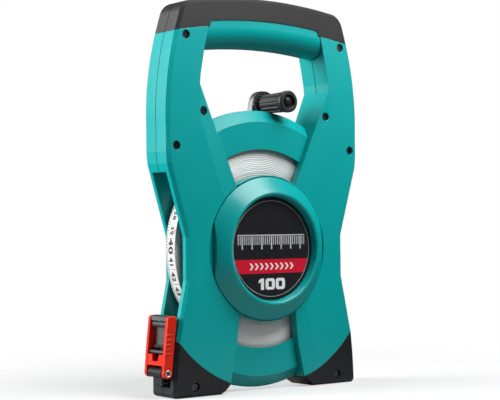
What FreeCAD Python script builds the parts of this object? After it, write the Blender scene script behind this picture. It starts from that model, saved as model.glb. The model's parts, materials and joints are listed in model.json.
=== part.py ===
"""Open-frame surveyor's tape reel: casing, wound tape, folding crank and folding end hook.

Frame: +Z up, X along the handle, Y from front to rear, millimetres. The feet stand on Z = 0, the
parting plane of the casing is Y = 0 and the reel turns about the line X = 0, Z = hub_height.
Outlines are drawn from the hub's centre.
"""
import FreeCAD, Part
import math
import os

import Sketcher

from FreeCAD import Placement, Rotation, Vector

SIZES = {
    # casing
    "hub_height": 94.0, "casing_depth": 26.8, "parting_gap": 0.02, "bevel": 2.1,
    "seam_width": 0.22, "seam_depth": 0.7,
    "ring_face": 7.8, "plate_inside": 6.2, "rim_inside": 8.0, "arch_radius": 92.6,
    "arch_shoulder": 85.0, "arch_edge": 1.2, "window_radius": 66.2, "cavity_radius": 74.0,
    "cavity_wall": 2.5, "boss_radius": 48.6, "seat_radius": 47.9, "seat_depth": 1.0,
    "hub_cavity_radius": 46.0, "hub_inside": 8.6, "facet_reach": 15.5, "facet_tilt": 5.5,
    "column_wall": 2.6,
    # handle
    "handle_centre": -214.1, "grip_radius": 380.0, "column_top": 361.85, "bar_under": 347.45,
    "bar_top": 365.3, "bar_corner": 3.2, "bar_reach": 12.9, "bar_wall": 2.5,
    "grip_wall": 3.0, "grip_round": 12.0,
    # screws of the casing
    "screw_radius": 1.5, "screw_head": 2.7, "screw_sink": 1.3, "head_hole": 2.9, "screw_length": 19.0,
    # feet and tape mouth
    "foot_gap": 0.15, "mouth_half_width": 8.4, "channel_half_width": 6.5,
    "guide_radius": 0.8, "guide_seat": 1.5,
    # reel
    "coil_radius": 69.3, "coil_width": 10.2, "core_radius": 26.0, "flange_radius": 44.0,
    "flange_outside": 7.4, "front_journal": 6.0, "rear_journal": 9.0, "running_gap": 0.05,
    "bush_wall": 2.2, "washer_thickness": 0.8, "lead_thickness": 0.4, "lead_gap": 0.3,
    # hub cap and label
    "cap_radius": 47.5, "cap_flat": 44.2, "label_radius": 33.9, "label_thickness": 0.8, "label_seat": 2.8,
    # crank
    "crank_lean": 10.6, "crank_length": 100.5, "hinge_out": 17.2, "arm_thickness": 5.8,
    "hinge_radius": 1.5, "hub_flange_radius": 19.0, "hub_flange_in": 11.3, "hub_flange_out": 13.9,
    "cheek_gap": 6.4, "cheek_thickness": 3.0, "spindle_radius": 2.5, "knob_length": 26.2,
    "knob_small": 6.5, "knob_large": 7.4, "knob_gap": 0.4, "collar_radius": 9.0, "collar_thickness": 2.2,
    "knob_recess": 4.6, "flute_radius": 1.2, "cover_radius": 29.8, "cover_thickness": 1.2,
    # end hook
    "pin_across": -79.3, "pin_down": -77.7, "pin_radius": 1.2, "hook_half_width": 11.6,
    "hook_cheek": 2.8, "clamp_half_width": 7.4, "tongue_half_width": 6.1,
    "barrel_radius": 3.2, "lug_radius": 3.4,
    "claw_across": -76.4, "claw_down": -47.1, "claw_pin_radius": 0.9, "claw_barrel": 1.9,
}

FRONT, REAR = 1, -1

doc = FreeCAD.newDocument("tape_reel")
dims = doc.addObject("Spreadsheet::Sheet", "dims")
for row, (word, size) in enumerate(SIZES.items(), start=1):
    dims.set(f"A{row}", word)
    dims.set(f"B{row}", str(size))
    dims.setAlias(f"B{row}", word)
doc.recompute()


class Via(tuple):
    """The middle point of an arc between its two neighbours in an outline."""


def value(expression):
    """The number that an expression over the sheet's aliases gives."""
    found = dims.evalExpression(str(expression))
    return float(getattr(found, "Value", found))


def bind(thing, **expressions):
    """Bind properties to the sheet; a double underscore stands for the dot in a path."""
    for path, expression in expressions.items():
        thing.setExpression(path.replace("__", "."), str(expression))


def mirrored(path):
    """The same run of outline points on the other side, in the opposite order."""
    return [type(p)((-p[0], p[1])) for p in reversed(path)]


def edges_of(path):
    """Lines and arcs of a closed outline of corners and Via points."""
    corners = [p for p in path if not isinstance(p, Via)]
    count = len(path)
    edges = []
    for k, here in enumerate(path):
        if isinstance(here, Via):
            continue
        after = path[(k + 1) % count]
        start = Vector(*here, 0)
        if isinstance(after, Via):
            end = path[(k + 2) % count]
            edges.append(Part.Arc(start, Vector(*after, 0), Vector(*end, 0)))
        else:
            edges.append(Part.LineSegment(start, Vector(*after, 0)))
    assert len(edges) == len(corners)
    return edges


# ---------------------------------------------------------------- PartDesign helpers

def new_body(label):
    made = doc.addObject("PartDesign::Body", label)
    made.Label = label
    return made


def new_sketch(body, plane, up="dims.hub_height", out="0", across="0"):
    """An empty sketch on one of the body's origin planes, moved along its own axes."""
    sketch = body.newObject("Sketcher::SketchObject", "sketch")
    role = {"XZ": "XZ_Plane", "YZ": "YZ_Plane", "XY": "XY_Plane"}[plane]
    support = next(f for f in body.Origin.OriginFeatures if f.Role == role)
    sketch.AttachmentSupport = [(support, "")]
    sketch.MapMode = "FlatFace"
    bind(sketch, AttachmentOffset__Base__x=across, AttachmentOffset__Base__y=up,
         AttachmentOffset__Base__z=out)
    return sketch


def draw(sketch, *paths):
    for path in paths:
        sketch.addGeometry(edges_of(path), False)
    return sketch


def draw_bound(sketch, corners):
    """A closed polygon whose every corner is bound to two expressions."""
    spots = [(value(a), value(b)) for a, b in corners]
    sketch.addGeometry(edges_of(spots), False)
    count = len(spots)
    for k in range(count):
        sketch.addConstraint(Sketcher.Constraint("Coincident", k, 2, (k + 1) % count, 1))
    for k, (across, along) in enumerate(corners):
        for kind, expression, spot in (("DistanceX", across, spots[k][0]), ("DistanceY", along, spots[k][1])):
            index = sketch.addConstraint(Sketcher.Constraint(kind, k, 1, spot))
            sketch.setExpression(f"Constraints[{index}]", str(expression))
    return sketch


def draw_circles(sketch, radius, centres=((0, 0),)):
    for across, up in centres:
        index = sketch.addGeometry(Part.Circle(Vector(across, up, 0), Vector(0, 0, 1), value(radius)), False)
        size = sketch.addConstraint(Sketcher.Constraint("Radius", index, value(radius)))
        sketch.setExpression(f"Constraints[{size}]", str(radius))
    return sketch


def feature(body, kind, sketch, **settings):
    made = body.newObject(f"PartDesign::{kind}", kind.lower())
    made.Profile = sketch
    for name, setting in settings.items():
        setattr(made, name, setting)
    return made


def changed(body, made, grows):
    """Recompute and make sure that the feature really added or removed material."""
    before = made.BaseFeature.Shape.Volume if made.BaseFeature else 0.0
    doc.recompute()
    after = made.Shape.Volume
    assert (after > before + 1e-3) if grows else (after < before - 1e-3), f"{body.Label} {made.Name}"
    return made


def pad(body, sketch, length, side=FRONT, both=False):
    """Material from the sketch towards the front (-Y on an XZ sketch), the rear, or both."""
    made = feature(body, "Pad", sketch, Reversed=side == REAR, Midplane=both)
    bind(made, Length=length)
    return changed(body, made, True)


def cut(body, sketch, depth=None, side=FRONT, both=False):
    """Remove material from the sketch towards the front, the rear, or both; no depth goes through all."""
    made = feature(body, "Pocket", sketch, Reversed=side == FRONT, Midplane=both)
    if depth is None:
        made.Type = 1
    else:
        bind(made, Length=depth)
    return changed(body, made, False)


def turn(body, sketch, angle=360.0, grows=True):
    """Revolve a YZ sketch about its own horizontal axis, evenly to both sides."""
    kind = "Revolution" if grows else "Groove"
    made = feature(body, kind, sketch, ReferenceAxis=(sketch, ["H_Axis"]), Angle=angle, Midplane=angle < 360)
    return changed(body, made, grows)


def dress(body, kind, size, chosen):
    """Chamfer or fillet the edges of the tip whose middle point passes the test."""
    tip = body.Tip
    names = [f"Edge{k}" for k, edge in enumerate(tip.Shape.Edges, start=1) if chosen(edge, middle(edge))]
    assert names, f"{body.Label}: no edge to {kind}"
    made = body.newObject(f"PartDesign::{kind}", kind.lower())
    made.Base = (tip, names)
    bind(made, **{"Size" if kind == "Chamfer" else "Radius": size})
    return changed(body, made, False)


def middle(edge):
    """Middle point of an edge, its height counted from the hub."""
    point = edge.valueAt((edge.FirstParameter + edge.LastParameter) / 2)
    return Vector(point.x, point.y, point.z - value("dims.hub_height"))


def turned(label, profile, up="dims.hub_height"):
    """A round piece about the reel's axis: profile corners are (place along Y, radius)."""
    body = new_body(label)
    turn(body, draw_bound(new_sketch(body, "YZ", up=up), profile))
    return body


# ---------------------------------------------------------------- Part helpers

def rod(name, radius, length, start, along=(0, 1, 0)):
    """A cylinder bound to the sheet; start is three expressions."""
    made = doc.addObject("Part::Cylinder", name)
    made.Placement = Placement(Vector(), Rotation(Vector(0, 0, 1), Vector(*along)))
    bind(made, Radius=radius, Height=length, Placement__Base__x=start[0],
         Placement__Base__y=start[1], Placement__Base__z=start[2])
    return made


def joined(label, pieces):
    made = doc.addObject("Part::MultiFuse", label)
    made.Label = label
    made.Shapes = pieces
    return made


def less(label, base, tool):
    made = doc.addObject("Part::Cut", label)
    made.Label = label
    made.Base, made.Tool = base, tool
    return made


def grouped(label, makers):
    """Separate identical pieces kept as one sub-part."""
    made = doc.addObject("Part::Compound", label)
    made.Label = label
    made.Links = makers
    return made


# ---------------------------------------------------------------- casing outlines

SIDE = [(73.07, -56.9), (65.1, -19.7), (65.1, 8.5), (77.3, 50.0), (78.9, 55.4), (79.6, 63.0), (79.6, 78.8),
        Via((77.9, 113.0)), (72.2, 140.5)]
PLATE_EDGE_TOP = [(24.7, 41.85), (54.1, 107.1), (53.6, 112.6), (50.9, 127.6), (47.4, 143.6), (46.6, 156.0)]
PLATE_EDGE_LOW = [(23.6, -42.5), (25.7, -63.0), (30.8, -86.6), (32.6, -96.0)]
OPENING_TOP, FOOT_TOP, OPENING_IN = 50.0, -56.0, 50.0
COLUMN_ROOM = [(57.5, 76.0), (73.5, 76.0), (73.0, 104.0), (69.0, 128.0), (57.0, 128.0)]
SCREWS = [(x * side, z) for x, z in ((64.7, 138.1), (51.25, 89.7), (72.7, 66.8), (59.3, -87.6))
          for side in (-1, 1)]
FOOT_OUT = [(73.7, -59.8), (75.0, -73.2), (75.8, -86.7), (75.9, -90.8), Via((75.1, -93.1)), (72.8, -94.0),
            (38.5, -94.0), (32.5, -88.6)]

CREASES = [((35.9, 33.0), (53.9, 84.5)), ((54.3, 84.5), (54.3, 107.0)), ((31.5, -36.0), (44.0, -94.0))]

LEAD_ANGLE = 190.15
MOUTH = [(-80.0, -87.2), (-70.0, -87.2), (-70.0, -80.8), (-80.0, -80.8)]
CHANNEL = [(-72.0, -87.2), (-70.0, -87.2), (-28.0, -78.6), (-28.0, -72.4), (-70.0, -80.8), (-72.0, -80.8)]
SHELL_CHANNEL = [(-62.0, -85.0), (4.0, -73.2), (4.0, -67.0), (-62.0, -79.0)]
GUIDES = [(-58.0, -82.72), (-58.0, -79.86)]


def on_circle(radius, across, sign):
    """Point of a circle about the hub at a given X, above or below."""
    return across, sign * math.sqrt(radius ** 2 - across ** 2)


def parting(side):
    """Where a half starts, as an offset along the sketch normal, which points to the front."""
    return f"{side} * dims.parting_gap"


def outer_face(side):
    return f"{side} * dims.casing_depth / 2"


def is_outer_edge(edge, mid, side, low, inside=60.0):
    """An edge of the outer face's rim, on the left or right of the casing and above a height."""
    flat = all(abs(v.Y + side * value("dims.casing_depth / 2")) < 1e-3 for v in edge.Vertexes)
    return flat and abs(mid.x) > inside and mid.z > low


CROWN_ANGLE = 14.4


def handle_sketch(body):
    return new_sketch(body, "YZ", up="dims.hub_height + dims.handle_centre")


def shell(label, side):
    """One moulded half: side plates crossing at the hub, handle columns, bar and two arches."""
    body = new_body(label)
    radius = value("dims.arch_radius")
    top = value("dims.handle_centre + dims.column_top")
    outline = SIDE + [Via((0, top))] + mirrored(SIDE) + [Via((0, -radius))]
    pad(body, draw(new_sketch(body, "XZ", out=parting(side)), outline),
        "dims.casing_depth / 2 - dims.parting_gap", side)
    dress(body, "Chamfer", "dims.bevel", lambda edge, mid: is_outer_edge(edge, mid, side, -60.0))
    boss = value("dims.boss_radius")
    for edge_run, high in ((PLATE_EDGE_TOP, boss), (PLATE_EDGE_LOW, -boss)):
        cut(body, draw(new_sketch(body, "XZ"), mirrored(edge_run) + [Via((0, high))] + edge_run), both=True)
    facets(body, side)
    arches(body, side)
    handle_bar(body, side)
    rooms(body, side)
    screw_holes(body, side, [spot for spot in SCREWS if spot[1] > 0])
    seam(body, side, outline)
    opening_seam(body, side)
    if side == FRONT:
        front_hub(body)
    else:
        rear_hub(body)
    return body


def facets(body, side):
    """Sloping facets beside the ring, from a crease in the side plates to the plate edges."""
    face, reach = value("dims.casing_depth / 2"), value("dims.facet_reach")
    drop = reach * math.tan(math.radians(value("dims.facet_tilt")))
    for start, end in CREASES:
        for hand in (-1, 1):
            crease, edge, out = hand * start[0], hand * (start[0] - reach), -side * (face + 0.01)
            section = [(crease, out), (edge, out), (edge, -side * (face - drop))]
            sketch = draw(new_sketch(body, "XY", up="0", out=f"dims.hub_height + {start[1]}"), section)
            run = Vector(hand * (end[0] - start[0]), 0, end[1] - start[1])
            made = feature(body, "Pocket", sketch, UseCustomVector=True, AlongSketchNormal=False,
                           Direction=run, Reversed=False)
            made.Length = run.Length
            changed(body, made, False)


def arches(body, side):
    """Sunk ring above and below the hub: a thin plate round the window and a hollow arch."""
    wall, inner = "dims.cavity_wall", f"{-side} * dims.parting_gap"
    section = [("dims.ring_face", "dims.window_radius"), ("dims.ring_face", "dims.arch_shoulder"),
               ("dims.arch_edge", "dims.arch_radius"), (None, "dims.arch_radius"),
               (None, f"dims.arch_radius - {wall}"),
               (f"dims.ring_face - {wall}", "dims.arch_shoulder - 1.2"),
               (f"dims.ring_face - {wall}", f"dims.cavity_radius + {wall}"),
               (None, f"dims.cavity_radius + {wall}"), (None, "dims.cavity_radius - 0.5"),
               ("dims.plate_inside", "dims.cavity_radius - 0.5"), ("dims.plate_inside", "dims.window_radius")]
    for sign in (1, -1):
        corners = [(inner if out is None else f"{-side} * ({out})", f"{sign} * ({r})") for out, r in section]
        turn(body, draw_bound(new_sketch(body, "YZ"), corners), 64.0)


def handle_bar(body, side):
    """Hollow rounded bar between the columns, curved about the handle's centre."""
    gap, reach, wall = value("dims.parting_gap"), value("dims.bar_reach"), value("dims.bar_wall")
    under, crown = value("dims.bar_under"), value("dims.bar_top")
    shoulder = value("dims.column_top")
    round_out = reach - gap
    round_in = round_out - wall
    half = math.sqrt(0.5)
    for top, angle in ((shoulder, 16.2), (crown, CROWN_ANGLE)):
        section = [(gap, under), Via((gap + round_out * half, under + round_out * (1 - half))),
                   (reach, under + round_out), (reach, top), (reach - wall, top),
                   (reach - wall, under + round_out),
                   Via((gap + round_in * half, under + wall + round_in * (1 - half))), (gap, under + wall)]
        placed = [type(p)((-side * p[0], p[1])) for p in section]
        turn(body, draw(handle_sketch(body), placed), angle)
    for hand in (-1, 1):
        cut(body, draw(new_sketch(body, "XZ"), crown_corner(hand, 0.0)), both=True)


def crown_corner(hand, clear):
    """Outline of what lies outside the rounded upper corner of the bar, a clearance away from it."""
    corner, top = value("dims.bar_corner"), value("dims.bar_top")
    angle = math.radians(CROWN_ANGLE / 2) - corner / top
    upward = Vector(math.sin(angle), math.cos(angle), 0)
    outward = Vector(math.cos(angle), -math.sin(angle), 0)
    centre = Vector(0, value("dims.handle_centre"), 0) + upward * (top - corner)
    near, far = corner + clear, corner + 1.0 + 3 * clear
    half = math.sqrt(0.5)
    spots = [centre + outward * near, centre + (outward + upward) * (near * half), centre + upward * near,
             centre + upward * far, centre + (outward + upward) * far, centre + outward * far]
    path = [(hand * spot.x, spot.y) for spot in spots]
    path[1] = Via(path[1])
    return path


def rooms(body, side):
    """Inner spaces: the coil's room, the side openings, the hub's room, columns and tape channel."""
    for radius, depth in (("dims.cavity_radius", "dims.plate_inside"),
                          ("dims.hub_cavity_radius", "dims.hub_inside")):
        cut(body, draw_circles(new_sketch(body, "XZ"), radius), depth, side)
    far = 90.0
    for sign in (-1, 1):
        gate = [(sign * OPENING_IN, FOOT_TOP), (sign * far, FOOT_TOP), (sign * far, OPENING_TOP),
                (sign * OPENING_IN, OPENING_TOP)]
        cut(body, draw(new_sketch(body, "XZ"), gate), "dims.rim_inside", side)
        room = [(sign * x, z) for x, z in COLUMN_ROOM]
        cut(body, draw(new_sketch(body, "XZ"), room), "dims.casing_depth / 2 - dims.column_wall", side)
    cut(body, draw(new_sketch(body, "XZ"), SHELL_CHANNEL), "dims.plate_inside", side)


def outline_beside(path, distance):
    """Sketch geometry of a closed outline moved outward, or inward when the distance is negative."""
    wire = Part.Wire(Part.sortEdges([edge.toShape() for edge in edges_of(path)])[0])
    moved = []
    for edge in wire.makeOffset2D(distance).Edges:
        first, last = edge.FirstParameter, edge.LastParameter
        start, half_way, end = (edge.valueAt(p) for p in (first, (first + last) / 2, last))
        straight = isinstance(edge.Curve, Part.Line)
        moved.append(Part.LineSegment(start, end) if straight else Part.Arc(start, half_way, end))
    return moved


def seam(body, side, outline):
    """Shallow rebate along an outline at the parting plane: the halves meet behind a fine groove."""
    sketch = new_sketch(body, "XZ", out=parting(side))
    for distance in (0.4, -value("dims.seam_depth")):
        sketch.addGeometry(outline_beside(outline, distance), False)
    cut(body, sketch, "dims.seam_width", side)


def opening_seam(body, side):
    """The same groove along the columns' edges in the handle opening."""
    depth = value("dims.seam_depth")
    for hand in (-1, 1):
        strip = ([(hand * (x - 0.4), z) for x, z in PLATE_EDGE_TOP[1:]]
                 + [(hand * (x + depth), z) for x, z in reversed(PLATE_EDGE_TOP[1:])])
        cut(body, draw(new_sketch(body, "XZ", out=parting(side)), strip), "dims.seam_width", side)


def screw_holes(body, side, spots):
    """A sunk head hole and a clearance hole in the front half, a blind pilot hole in the rear one."""
    if side == FRONT:
        cut(body, draw_circles(new_sketch(body, "XZ", out=outer_face(FRONT)), "dims.head_hole", spots),
            "dims.screw_sink + 1.2", REAR)
        cut(body, draw_circles(new_sketch(body, "XZ"), "dims.screw_radius + 0.1", spots), both=True)
    else:
        cut(body, draw_circles(new_sketch(body, "XZ"), "dims.screw_radius", spots),
            "dims.screw_length - dims.casing_depth / 2 + dims.screw_sink + 1.2", REAR)


def front_hub(body):
    """Seat of the hub cap and the bush hole behind it."""
    cut(body, draw_circles(new_sketch(body, "XZ", out=outer_face(FRONT)), "dims.seat_radius"),
        "dims.seat_depth", REAR)
    cut(body, draw_circles(new_sketch(body, "XZ"), "dims.front_journal + dims.bush_wall"), both=True)


def rear_hub(body):
    """Stepped seat: a shallow ring for the cover, a deeper one for the crank hub, and the bush hole."""
    face = outer_face(REAR)
    cut(body, draw_circles(new_sketch(body, "XZ", out=face), "dims.cover_radius + 0.1"),
        "dims.cover_thickness", FRONT)
    cut(body, draw_circles(new_sketch(body, "XZ", out=face), "dims.hub_flange_radius + 0.5"),
        "dims.casing_depth / 2 - dims.hub_flange_in + 0.3", FRONT)
    cut(body, draw_circles(new_sketch(body, "XZ"), "dims.rear_journal + dims.bush_wall"), both=True)
    cut(body, draw_circles(new_sketch(body, "XZ", out=face), "dims.guide_radius + 0.2", COVER_SCREWS),
        "dims.cover_thickness + 2.6", FRONT)


COVER_SCREWS = [(24.6 * math.cos(math.radians(angle)), 24.6 * math.sin(math.radians(angle)))
                for angle in (45, 135, 225, 315)]


# ---------------------------------------------------------------- casing

def grip_edge(centre, top):
    """Right end of the grip: a leaning side, rounded into the long arc of the top."""
    start, radius = Vector(72.2, 140.6, 0), value("dims.grip_round")
    lean = Vector(-0.29, 0.957, 0).normalize()
    inward = Vector(-lean.y, lean.x, 0)
    hub = Vector(0, centre, 0)
    base = start + inward * radius - hub
    along = -base.dot(lean) + math.sqrt(base.dot(lean) ** 2 - base.dot(base) + (top - radius) ** 2)
    middle_point = start + inward * radius + lean * along
    upward = (middle_point - hub).normalize()
    between = (upward - inward).normalize()
    points = start, start + lean * along, middle_point + between * radius, middle_point + upward * radius
    return [(points[0].x, points[0].y), (points[1].x, points[1].y), Via((points[2].x, points[2].y)),
            (points[3].x, points[3].y)]


def grip(label, side):
    """Soft black cap over the handle and the tops of the columns, hollow behind its wall."""
    body = new_body(label)
    centre, top = value("dims.handle_centre"), value("dims.grip_radius")
    under = value("dims.column_top") + 0.1
    edge_run = grip_edge(centre, top)
    outline = edge_run + [Via((0, centre + top))] + mirrored(edge_run) + [Via((0, centre + under))]
    pad(body, draw(new_sketch(body, "XZ", out=parting(side)), outline),
        "dims.casing_depth / 2 - dims.parting_gap", side)
    dress(body, "Chamfer", "dims.bevel", lambda edge, mid: is_outer_edge(edge, mid, side, 141.0, -1.0)
          and (mid.z > 155.0 or abs(mid.x) > 50.0))
    notch = [("0", "dims.column_top - 2"), ("dims.casing_depth", "dims.column_top - 2"),
             ("dims.casing_depth", "dims.bar_top + 0.1"), ("0", "dims.bar_top + 0.1")]
    room = [("0", "dims.bar_top - 2"), ("dims.casing_depth / 2 - dims.grip_wall", "dims.bar_top - 2"),
            ("dims.casing_depth / 2 - dims.grip_wall", "dims.grip_radius - 4"), ("0", "dims.grip_radius - 4")]
    for section, angle in ((notch, CROWN_ANGLE + 0.05), (room, 17.0)):
        corners = [(f"{-side} * ({out})", radius) for out, radius in section]
        turn(body, draw_bound(handle_sketch(body), corners), angle, grows=False)
    inside = f"{side} * (dims.casing_depth / 2 - dims.grip_wall)"
    for hand in (-1, 1):
        pad(body, draw(new_sketch(body, "XZ", out=inside), crown_corner(hand, 0.1)), "dims.grip_wall", side)
    seam(body, side, outline)
    return body


def foot(label, side, hand):
    """Black corner block outside the arch circle; the left pair holds the tape's mouth and channel."""
    body = new_body(label)
    radius = value("dims.arch_radius + dims.foot_gap")
    high, low = on_circle(radius, 73.1, -1), on_circle(radius, 31.9, -1)
    under_arch = Via((radius * math.cos(math.radians(306)), radius * math.sin(math.radians(306))))
    path = [high] + FOOT_OUT + [low, under_arch]
    outline = [type(p)((hand * p[0], p[1])) for p in path]
    pad(body, draw(new_sketch(body, "XZ", out=parting(side)), outline),
        "dims.casing_depth / 2 - dims.parting_gap", side)
    dress(body, "Chamfer", "dims.bevel", lambda edge, mid: is_outer_edge(edge, mid, side, -93.5, 73.0))
    if hand < 0:
        cut(body, draw(new_sketch(body, "XZ"), MOUTH), "dims.mouth_half_width", side)
        cut(body, draw(new_sketch(body, "XZ"), CHANNEL), "dims.channel_half_width", side)
        cut(body, draw_circles(new_sketch(body, "XZ"), "dims.guide_radius", GUIDES),
            "dims.channel_half_width + dims.guide_seat", side)
    screw_holes(body, side, [spot for spot in SCREWS if spot[1] < 0 and spot[0] * hand > 0])
    seam(body, side, outline)
    return body


def casing_screws():
    """Pan head screws with a cross recess, sunk into the front half."""
    made = []
    for k, (across, up) in enumerate(SCREWS):
        body = new_body(f"casing_screw_{k}")
        face = "-dims.casing_depth / 2 + dims.screw_sink"
        profile = [(face, "0"), (face, "dims.screw_head - 0.6"), (f"{face} + 0.6", "dims.screw_head"),
                   (f"{face} + 1.2", "dims.screw_head"), (f"{face} + 1.2", "dims.screw_radius"),
                   (f"{face} + dims.screw_length", "dims.screw_radius"),
                   (f"{face} + dims.screw_length + 1", "0")]
        turn(body, draw_bound(new_sketch(body, "YZ"), profile))
        cross_recess(body, face)
        bind(body, Placement__Base__x=across, Placement__Base__z=up)
        made.append(body)
    return grouped("casing_screws", made)


def cross_recess(body, face, reach=1.7, width=0.42, depth=0.9):
    """Cross slot in a head that faces the front."""
    cross = []
    for across, up in ((1, 1), (-1, 1), (-1, -1), (1, -1)):
        corner = [(reach, width), (width, width), (width, reach)]
        cross += [(across * x, up * z) for x, z in (corner if across == up else reversed(corner))]
    cut(body, draw(new_sketch(body, "XZ", out=f"-({face})"), cross), depth, REAR)


def hub_cap():
    """Raised hollow ring with a seat for the label and a flat on each side."""
    front = "-dims.casing_depth / 2"
    profile = [(f"{front} + dims.seat_depth", "dims.cap_radius"), (f"{front} - 0.5", "dims.cap_radius"),
               (f"{front} - 7.7", "38.4"), (f"{front} - 8.6", "37.1"), (f"{front} - 8.6", "36.2"),
               (f"{front} - 8.0", "35.2"), (f"{front} - dims.label_seat", "34.2"),
               (f"{front} - dims.label_seat", "0"), (f"{front} - dims.label_seat + 1.8", "0"),
               (f"{front} - dims.label_seat + 1.8", "36.0"), (f"{front} - 5.6", "37.2"),
               (f"{front} - 2.2", "41.6"), (f"{front} + dims.seat_depth", "41.6")]
    body = turned("hub_cap", profile)
    for sign in (-1, 1):
        beyond = [(sign * value("dims.cap_flat"), -30.0), (sign * 60.0, -30.0), (sign * 60.0, 30.0),
                  (sign * value("dims.cap_flat"), 30.0)]
        cut(body, draw(new_sketch(body, "XZ"), beyond), both=True)
    return body


def hub_label():
    front = "-dims.casing_depth / 2 - dims.label_seat"
    return turned("hub_label", [(front, "0"), (front, "dims.label_radius"),
                                (f"{front} - dims.label_thickness", "dims.label_radius"),
                                (f"{front} - dims.label_thickness", "0")])


def bush(label, side, journal, inside, outside):
    bore = f"{journal} + dims.running_gap"
    wall = f"{journal} + dims.bush_wall"
    places = [f"{-side} * ({place})" for place in (inside, outside)]
    return turned(label, [(places[0], bore), (places[0], wall), (places[1], wall), (places[1], bore)])


def drag_washers():
    """Thin rings between the reel's flanges and the casing, one at each end."""
    made = []
    for side in (FRONT, REAR):
        near, far = (f"{-side} * (dims.hub_inside{shift})" for shift in (" - dims.washer_thickness", ""))
        made.append(turned(f"drag_washer_{side + 1}", [(near, "13"), (near, "19"), (far, "19"), (far, "13")]))
    return grouped("drag_washers", made)


def crank_cover():
    """Black ring set flush into the rear half round the crank's hub, held by four screws."""
    back = "dims.casing_depth / 2"
    floor = f"{back} - dims.cover_thickness"
    inner = "dims.hub_flange_radius + 0.5"
    body = turned("crank_cover", [(floor, inner), (floor, "dims.cover_radius"),
                                  (f"{back} - 0.4", "dims.cover_radius"),
                                  (back, "dims.cover_radius - 0.4"), (back, inner)])
    cut(body, draw_circles(new_sketch(body, "XZ"), "dims.guide_radius + 0.2", COVER_SCREWS), both=True)
    cut(body, draw_circles(new_sketch(body, "XZ", out=outer_face(REAR)), "1.9", COVER_SCREWS), "0.8", FRONT)
    return body


def cover_screws():
    made = []
    back = "dims.casing_depth / 2 - 0.1"
    for k, (across, up) in enumerate(COVER_SCREWS):
        body = new_body(f"cover_screw_{k}")
        turn(body, draw_bound(new_sketch(body, "YZ"), [
            (back, "0"), (back, "1.8"), (f"{back} - 0.7", "1.8"),
            (f"{back} - 0.7", "dims.guide_radius + 0.2"),
            (f"{back} - 3.4", "dims.guide_radius + 0.2"), (f"{back} - 3.4", "0")]))
        slot = [(-1.3, -0.25), (1.3, -0.25), (1.3, 0.25), (-1.3, 0.25)]
        cut(body, draw(new_sketch(body, "XZ", out=f"-({back})"), slot), "0.4", FRONT)
        bind(body, Placement__Base__x=across, Placement__Base__z=up)
        made.append(body)
    return grouped("cover_screws", made)


def mouth_guides():
    """Two smooth pins across the channel that the tape runs between."""
    half = "(dims.channel_half_width + dims.guide_seat)"
    pins = [rod(f"mouth_guide_{k}", "dims.guide_radius", f"2 * {half}",
                (x, f"-{half}", f"dims.hub_height + {z}")) for k, (x, z) in enumerate(GUIDES)]
    return grouped("mouth_guides", pins)


# ---------------------------------------------------------------- reel

def reel_drum():
    """Core with two flanges and a journal at both ends."""
    out, core, flange = "dims.flange_outside", "dims.core_radius", "dims.flange_radius"
    inside = "(dims.coil_width / 2 + 0.2)"
    journal = "dims.front_journal"
    profile = [("-12", "0"), ("-12", journal), (f"-{out}", journal), (f"-{out}", flange),
               (f"-{inside}", flange), (f"-{inside}", core), (inside, core), (inside, flange), (out, flange),
               (out, "dims.rear_journal"), ("dims.hub_flange_in", "dims.rear_journal"),
               ("dims.hub_flange_in", "2"), ("0", "2"), ("0", "0")]
    return turned("reel_drum", profile)


def tape_coil():
    """The wound tape, one closed ring on the core."""
    half, core, top = "dims.coil_width / 2", "dims.core_radius + 0.02", "dims.coil_radius"
    return turned("tape_coil", [(f"-{half}", core), (f"-{half}", top), (half, top), (half, core)])


def on_lean(thing):
    """Place a piece of the crank: its own origin goes to the fold hinge on the reel's axis."""
    thing.Placement = Placement(Vector(), Rotation(Vector(0, 1, 0), value("dims.crank_lean")))
    bind(thing, Placement__Base__y="dims.hinge_out", Placement__Base__z="dims.hub_height")
    return thing


def crank_hub():
    """Round flange on the reel's shaft with two cheeks that carry the fold hinge."""
    flange = new_body("crank_hub_flange")
    base, face = "dims.hub_flange_in - dims.hinge_out", "dims.hub_flange_out - dims.hinge_out"
    turn(flange, draw_bound(new_sketch(flange, "YZ", up="0"), [
        (base, "2.05"), (base, "dims.hub_flange_radius"), (f"{face} - 0.5", "dims.hub_flange_radius"),
        (face, "dims.hub_flange_radius - 0.5"), (face, "4.3"), (f"{face} - 1.5", "4.3"),
        (f"{face} - 1.5", "2.05")]))
    pieces = [flange]
    for sign in (-1, 1):
        cheek = new_body(f"crank_cheek_{sign + 1}")
        top = 3.2
        side_view = [(value(face) - 0.3, -8.5), (0.6, -8.5), (top, -5.0), (top, 5.0), (0.6, 8.5),
                     (value(face) - 0.3, 8.5)]
        out = "dims.cheek_gap" if sign > 0 else "-dims.cheek_gap - dims.cheek_thickness"
        pad(cheek, draw(new_sketch(cheek, "YZ", up="0", out=out), side_view), "dims.cheek_thickness")
        cut(cheek, draw_circles(new_sketch(cheek, "YZ", up="0"), "dims.hinge_radius"), both=True)
        pieces.append(cheek)
    return on_lean(joined("crank_hub", pieces))


def axle_screw():
    base = "dims.hub_flange_out - 1.5"
    body = turned("axle_screw", [
        ("1", "0"), ("1", "2"), (base, "2"), (base, "4"), ("dims.hub_flange_out - 0.5", "4"),
        ("dims.hub_flange_out - 0.1", "3.4"), ("dims.hub_flange_out - 0.1", "0")])
    slot = [(-2.6, -0.4), (2.6, -0.4), (2.6, 0.4), (-2.6, 0.4)]
    cut(body, draw(new_sketch(body, "XZ", out="-dims.hub_flange_out"), slot), "0.9", FRONT)
    return body


def crank_pin():
    """Cross pin of the fold hinge."""
    return on_lean(leaning_rod("crank_pin", "dims.hinge_radius",
                               "2 * (dims.cheek_gap + dims.cheek_thickness + 0.4)"))


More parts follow.
